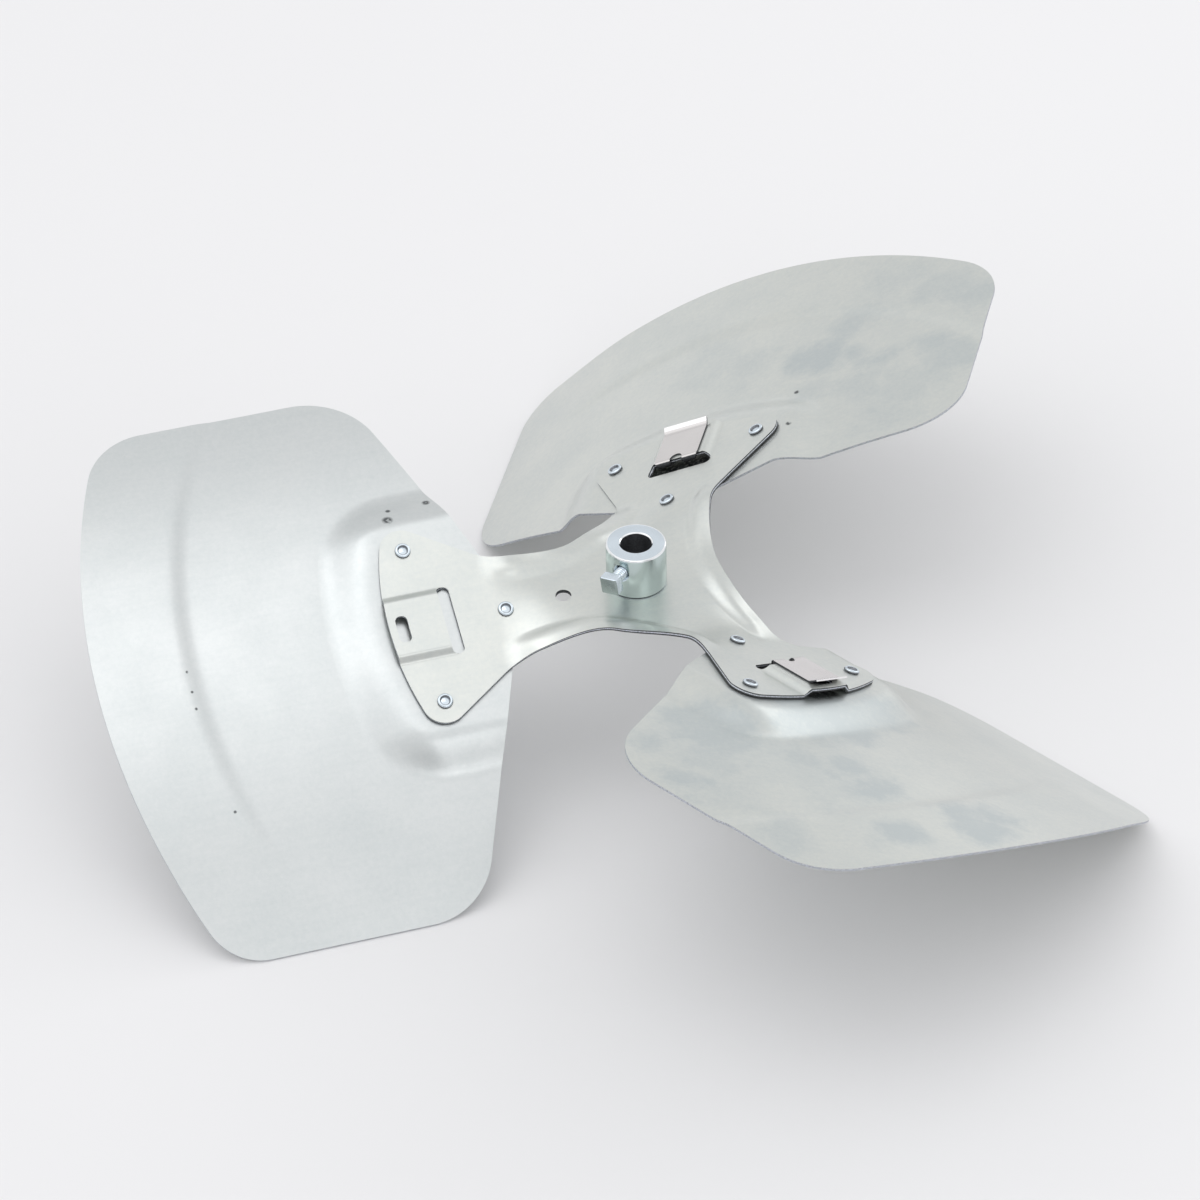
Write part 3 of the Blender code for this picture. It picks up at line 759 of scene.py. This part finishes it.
class FAN_OT_hub(Operator):
    """Turns the bored hub with its chamfers and drills its screw hole"""
    bl_idname = "fan.hub"
    bl_label = "Hub"

    def execute(self, context):
        neck = -(SPIDER_T + GAP)
        foot = neck - LIP_H
        chamfer, bore = HUB_CHAMFER, BORE_R + BORE_CHAMFER
        profile = [(bore, HUB_H), (HUB_R - chamfer, HUB_H),
                   (HUB_R - 0.3 * chamfer, HUB_H - 0.3 * chamfer), (HUB_R, HUB_H - chamfer),
                   (HUB_R, GAP + 0.0004), (HUB_R - 0.0004, GAP), (PILOT_R, GAP),
                   (PILOT_R, neck), (LIP_R, neck), (LIP_R - 0.0003, foot), (bore, foot),
                   (BORE_R, foot + BORE_CHAMFER), (BORE_R, HUB_H - BORE_CHAMFER),
                   (bore, HUB_H)]
        hub = turned("hub_turned", profile, 96, hollow=True)
        place(hub, Matrix.Translation((0, 0, PLATE_Z)))
        face = HUB_R - SCREW_TIP
        drill = [(SCREW_R + GAP, -0.003), (SCREW_R + GAP, face - 0.0016),
                 (SINK_R, face + 0.0003), (SINK_R + 0.002, face + 0.0023)]
        tool = turned("drill", drill, 48)
        place(tool, screw_matrix())
        cut(hub, tool)
        metals = (bright_zinc("zinc_hub", finishes().zinc, 0.16), cut_steel("bore_painted_shade", 1.6),
                  bright_zinc("hub_side_painted_shade", finishes().side_shade_zinc, 0.16, 70.0, 0.06),
                  bright_zinc("chamfer_painted_highlight", (0.93, 0.95, 0.97), 0.10))
        # painted shade: near-black steel on the bore wall
        pick_faces(hub, metals, lambda face: math.hypot(*face.center[:2]) < BORE_R + 0.0001
                   and abs(face.normal.z) < 0.3)
        # painted shade: a darker, greener copy of the hub's zinc on its side
        pick_faces(hub, metals, lambda face: math.hypot(*face.center[:2]) > HUB_R - 0.0002
                   and abs(face.normal.z) < 0.3, 2)
        # painted highlight: a near-white copy of the zinc on the top chamfers
        pick_faces(hub, metals, lambda face: 0.3 < face.normal.z < 0.95
                   and face.center.z > HUB_HIGH[2] - 1.1 * HUB_CHAMFER, 3)
        finish(hub, metals, ["hub"])
        return {"FINISHED"}


class FAN_OT_set_screw(Operator):
    """Makes the square-head set screw with rolled threads"""
    bl_idname = "fan.set_screw"
    bl_label = "Set screw"

    def execute(self, context):
        length = SCREW_HEAD_AT - SCREW_TIP
        pitch, depth = 0.00127, 0.00035
        profile = [(SCREW_R - 0.0008, 0.0), (SCREW_R - depth, 0.0007)]
        height = 0.0009
        while height < length - pitch:
            profile += [(SCREW_R - depth, height), (SCREW_R, height + 0.45 * pitch),
                        (SCREW_R, height + 0.6 * pitch)]
            height += pitch
        profile += [(SCREW_R - depth, height), (SCREW_R - depth, length + 0.001)]
        screw = turned("set_screw_square", profile, 40)
        bpy.ops.object.select_all(action="DESELECT")
        bpy.ops.mesh.primitive_cube_add(size=1.0, scale=(SCREW_HEAD, SCREW_HEAD, SCREW_HEAD_L),
                                        location=(0, 0, length + SCREW_HEAD_L / 2),
                                        rotation=(0, 0, math.radians(8)))
        head = bpy.context.object
        bpy.ops.object.transform_apply()
        apply_modifier(head, "BEVEL", width=0.0007, segments=3, limit_method="ANGLE")
        cut(screw, head, "UNION")
        place(screw, screw_matrix())
        # painted shade: a darker copy of the zinc for the head's end face
        dull = [0.68 * channel for channel in finishes().side_shade_zinc]
        metals = (bright_zinc("zinc_screw", finishes().zinc, 0.20),
                  bright_zinc("screw_face_painted_shade", dull, 0.22))
        end = SCREW_TIP + length + SCREW_HEAD_L
        pick_faces(screw, metals, lambda face: face.center.xy.length > end - 0.0002)
        finish(screw, metals, ["set_screw"])
        return {"FINISHED"}


class FAN_OT_rivets(Operator):
    """Sets the nine rivets through the pads and the blades"""
    bl_idname = "fan.rivets"
    bl_label = "Rivets"

    def execute(self, context):
        top = RIVET_HEAD_H + GAP
        under = PLATEAU_W - BLADE_T - GAP
        foot = under - 0.0012
        profile = [(0.0026, foot), (0.0040, foot + 0.0002), (0.0044, under), (RIVET_R, under),
                   (RIVET_R, GAP), (RIVET_HEAD_R - 0.0001, GAP), (RIVET_HEAD_R, GAP + 0.0003),
                   (0.0039, GAP + 0.0007), (0.00365, top - 0.00025), (0.0033, top - 0.00005),
                   (0.0030, top), (0.0027, top - 0.0001), (RIVET_RECESS_R - 0.0001, top - 0.0004),
                   (RIVET_RECESS_R - 0.0004, top - RIVET_RECESS_D),
                   (0.0010, top - RIVET_RECESS_D + 0.0003)]
        first = turned("rivet_set", profile, 40)
        # painted shade: dark steel on the recess wall and the outer wall of the plated rivet head
        rivet_shade = cut_steel("rivet_painted_shade", 3.4)
        metals = (bright_zinc("zinc_rivet", finishes().zinc, 0.18, 400.0), rivet_shade)
        pick_faces(first, metals, lambda face: abs(face.normal.z) < 0.8
                   and not 0.0026 < face.center.xy.length < RIVET_HEAD_R - 0.0001)
        for letter, angle in ARMS.items():
            for where, (u, v) in RIVET_UV.items():
                select_only(first)
                bpy.ops.object.duplicate()
                rivet = bpy.context.object
                rivet.name = rivet.data.name = f"rivet_head_{letter}_{where}"
                place(rivet, pad_matrix(angle) @ Matrix.Translation((u, v, 0)))
                finish(rivet, metals, [f"rivet_{letter}_{where}"])
        bpy.data.objects.remove(first, do_unlink=True)
        return {"FINISHED"}


class FAN_OT_clips(Operator):
    """Folds the spring-steel balance clips over two of the bridges"""
    bl_idname = "fan.clips"
    bl_label = "Balance clips"

    def execute(self, context):
        metals = (bright_zinc("spring_steel", finishes().spring, 0.14, 40.0),
                  cut_steel("fold_shade_and_clip_edge"),
                  bright_zinc("lip_painted_highlight", (0.93, 0.92, 0.92), 0.12, 40.0))
        for letter, (shift, middle) in CLIPS.items():
            clip = self.folded("balance_clip_leaf_" + letter, SLOT_U[1] + shift, middle)
            cut(clip, punch(circle(SLOT_U[1] + shift - 0.0006, middle, CLIP_NOTCH_R, 40)))
            # painted shade: dark steel on the fold where it faces sideways, also on the clip's
            # cut side edges
            pick_faces(clip, metals, lambda face: abs(face.normal.z) < 0.75
                       and not face.normal.x > 0.2)
            # painted highlight: a near-white copy of the spring steel on the raised lip's upward
            # faces
            pick_faces(clip, metals, lambda face: face.normal.z > 0.5
                       and face.center.z > BRIDGE_H + GAP + CLIP_T + 0.0006, 2)
            place(clip, pad_matrix(ARMS[letter]))
            finish(clip, metals, ["balance_clip_" + letter])
        return {"FINISHED"}

    def path(self, fold_u):
        """Points (u, w) of the strip's middle line, lower leaf first."""
        rise = CLIP_T / 2 + GAP
        lower, upper = BRIDGE_H - SPIDER_T - rise, BRIDGE_H + rise
        radius = (upper - lower) / 2
        point, heading = Vector((fold_u + 0.0235, lower - 0.0003)), math.pi
        legs = [(0.0235, 0.0), (math.pi * radius, -math.pi), (0.0222, 0.0),
                (0.0026, math.radians(32)), (0.0030, 0.0)]
        points = [point]
        for length, turn in legs:
            count = max(2, round(length / 0.0005))
            for _ in range(count):
                heading += turn / count
                ahead = Vector((math.cos(heading), math.sin(heading)))
                points.append(points[-1] + ahead * length / count)
        return points

    def folded(self, name, fold_u, middle):
        points = self.path(fold_u)
        rows, columns = len(points) - 1, 26
        bpy.ops.object.select_all(action="DESELECT")
        bpy.ops.mesh.primitive_grid_add(x_subdivisions=rows, y_subdivisions=columns, size=1.0)
        clip = bpy.context.object
        clip.name = clip.data.name = name
        for vert in clip.data.vertices:
            row = round((vert.co.x + 0.5) * rows)
            point = points[row]
            wide = ease(row, 0.40 * rows, 0.52 * rows)
            half = CLIP_UNDER_HALF + (CLIP_HALF - CLIP_UNDER_HALF) * wide
            vert.co = (point.x, middle + 2 * half * vert.co.y, point.y)
        edit_all(clip)
        bpy.ops.mesh.normals_make_consistent(inside=False)
        leave_edit()
        apply_modifier(clip, "SOLIDIFY", thickness=CLIP_T, offset=0.0, use_even_offset=True)
        return clip


class FAN_OT_stage(Operator):
    """Sets the floor, the lights and the camera"""
    bl_idname = "fan.stage"
    bl_label = "Stage"

    def execute(self, context):
        self.floor()
        self.lights(context.scene)
        self.camera(context.scene)
        return {"FINISHED"}

    def floor(self):
        low = CAD_BOX[0][2]
        bpy.ops.mesh.primitive_grid_add(x_subdivisions=4, y_subdivisions=4, size=16.0,
                                        location=(0, 0, low))
        floor = bpy.context.object
        floor.name = "studio_floor"
        material = bpy.data.materials.new("floor_paper")
        material.use_nodes = True
        tree = material.node_tree
        shader = tree.nodes["Principled BSDF"]
        place_in = add_node(tree, "TexCoord").outputs["Object"]
        tone = mix_colour(tree, noise(tree, place_in, 3.0, 2.0), finishes().floor,
                          [channel * 0.985 for channel in finishes().floor])
        tree.links.new(tone, shader.inputs["Base Color"])
        shader.inputs["Roughness"].default_value = 0.85
        floor.data.materials.append(material)

    def lights(self, scene):
        studio = scene.fan_studio
        scene.world = bpy.data.worlds.new("pale_room")
        scene.world.use_nodes = True
        self.room(scene.world.node_tree, studio.room)
        self.panel("softbox_overhead", (-0.38, 0.05, 2.0), (1.15, 1.5), studio.softbox)
        self.panel("panel_front_right", (0.5, -2.3, 1.15), (1.3, 1.3), studio.panel_power)
        self.panel("panel_right", (2.02, 0.94, 0.95), (1.6, 1.2), 1.5 * studio.panel_power)
        scene.view_settings.view_transform = "Standard"

    def room(self, tree, strength):
        """A pale backdrop, a dim room on the camera's left, and two wide glows above."""
        place_in = add_node(tree, "TexCoord").outputs["Generated"]
        axes = add_node(tree, "SeparateXYZ", {0: place_in}).outputs
        backdrop = self.tones(tree, axes["Z"], ((0.0, 0.99), (0.14, 0.95), (0.38, 0.80),
                                                (0.62, 0.90), (0.84, 0.84)))
        dim = self.tones(tree, axes["Z"], ((0.0, 0.36), (0.16, 0.50), (0.32, 0.84),
                                           (0.60, 0.98), (0.88, 0.88)))
        towards = math_node(tree, "ADD", math_node(tree, "MULTIPLY", axes["X"], 0.6),
                            math_node(tree, "MULTIPLY", axes["Y"], 0.8))
        side = span(tree, towards, -0.55, 0.35)
        light = mix_colour(tree, side, dim, backdrop)
        glows = (((-0.60, 0.12, 0.79), ((0.45, 0.0), (0.62, 0.82), (0.80, 0.92),
                                        (0.90, 1.12), (0.97, 1.30))),
                 ((0.30, -0.45, 0.84), ((0.60, 0.0), (0.72, 0.82), (0.80, 0.90),
                                        (0.90, 1.00), (0.98, 1.06))))
        for pole, steps in glows:
            near = add_node(tree, "VectorMath", {0: place_in, 1: pole},
                            operation="DOT_PRODUCT").outputs["Value"]
            glow = self.tones(tree, near, steps)
            lighter = add_node(tree, "Mix", {"Factor": 1.0}, data_type="RGBA",
                               blend_type="LIGHTEN")
            tree.links.new(light, lighter.inputs[6])
            tree.links.new(glow, lighter.inputs[7])
            light = lighter.outputs[2]
        ground = tree.nodes["Background"]
        tree.links.new(light, ground.inputs["Color"])
        ground.inputs["Strength"].default_value = strength

    def tones(self, tree, height, steps):
        """Greys by height of the view direction, faintly cool."""
        made = tree.nodes.new("ShaderNodeValToRGB")
        for _ in steps[2:]:
            made.color_ramp.elements.new(0.5)
        for element, (position, value) in zip(made.color_ramp.elements, steps):
            element.position = position
            element.color = (0.99 * value, 0.995 * value, value, 1.0)
        tree.links.new(height, made.inputs[0])
        return made.outputs[0]

    def panel(self, name, location, size, power):
        """A rectangular light that faces the fan."""
        aim = Vector(location).to_track_quat("Z", "Y").to_euler()
        bpy.ops.object.light_add(type="AREA", location=location, rotation=aim)
        light = bpy.context.object
        light.name = name
        light.data.shape = "RECTANGLE"
        light.data.size, light.data.size_y = size
        light.data.energy = power

    def camera(self, scene):
        """The photograph's view, worked out from where the hub's foot lies in it."""
        a, e = VIEW_AZIMUTH, VIEW_ELEVATION
        back = Vector((math.sin(a) * math.cos(e), -math.cos(a) * math.cos(e), math.sin(e)))
        right = Vector((math.cos(a), math.sin(a), 0))
        level = Matrix((right, back.cross(right), back))
        roll = Matrix.Rotation(VIEW_ROLL, 3, "Z")
        half = FRAME_PIXELS / 2
        ahead = Vector(((HUB_PIXEL[0] - half) / FOCAL_PIXELS,
                        (half - HUB_PIXEL[1]) / FOCAL_PIXELS, -1.0)).normalized()
        aim = Vector((0, 0, -1)).rotation_difference(ahead).to_matrix()
        turn = (aim @ roll @ level).transposed()
        place_at = Vector((0, 0, PLATE_Z)) - turn @ (ahead * VIEW_DISTANCE)
        bpy.ops.object.camera_add(location=place_at)
        camera = bpy.context.object
        camera.name = "photo_view"
        camera.matrix_world = Matrix.Translation(place_at) @ turn.to_4x4()
        camera.data.sensor_width = 36.0
        camera.data.lens = 36.0 * FOCAL_PIXELS / FRAME_PIXELS
        scene.camera = camera


PIECES = (FAN_OT_spider, FAN_OT_blades, FAN_OT_hub, FAN_OT_set_screw, FAN_OT_rivets,
          FAN_OT_clips, FAN_OT_stage)


class VIEW3D_PT_condenser_fan(Panel):
    """Lists the fan's pieces and their settings"""
    bl_label = "Condenser fan"
    bl_space_type = "VIEW_3D"
    bl_region_type = "UI"
    bl_category = "Fan"

    def draw(self, context):
        for piece in PIECES:
            self.layout.operator(piece.bl_idname)
        for group in (context.scene.fan_sizes, context.scene.fan_finishes,
                      context.scene.fan_studio):
            box = self.layout.box()
            for key in group.__annotations__:
                box.prop(group, key)


CLASSES = (FanSizes, FanFinishes, FanStudio, *PIECES, VIEW3D_PT_condenser_fan)


def register():
    for item in CLASSES:
        bpy.utils.register_class(item)
    bpy.types.Scene.fan_sizes = PointerProperty(type=FanSizes)
    bpy.types.Scene.fan_finishes = PointerProperty(type=FanFinishes)
    bpy.types.Scene.fan_studio = PointerProperty(type=FanStudio)


def unregister():
    del bpy.types.Scene.fan_studio
    del bpy.types.Scene.fan_finishes
    del bpy.types.Scene.fan_sizes
    for item in reversed(CLASSES):
        bpy.utils.unregister_class(item)


def main():
    register()
    bpy.ops.fan.spider()
    bpy.ops.fan.blades()
    bpy.ops.fan.hub()
    bpy.ops.fan.set_screw()
    bpy.ops.fan.rivets()
    bpy.ops.fan.clips()
    bpy.ops.fan.stage()


if __name__ == "__main__":
    main()
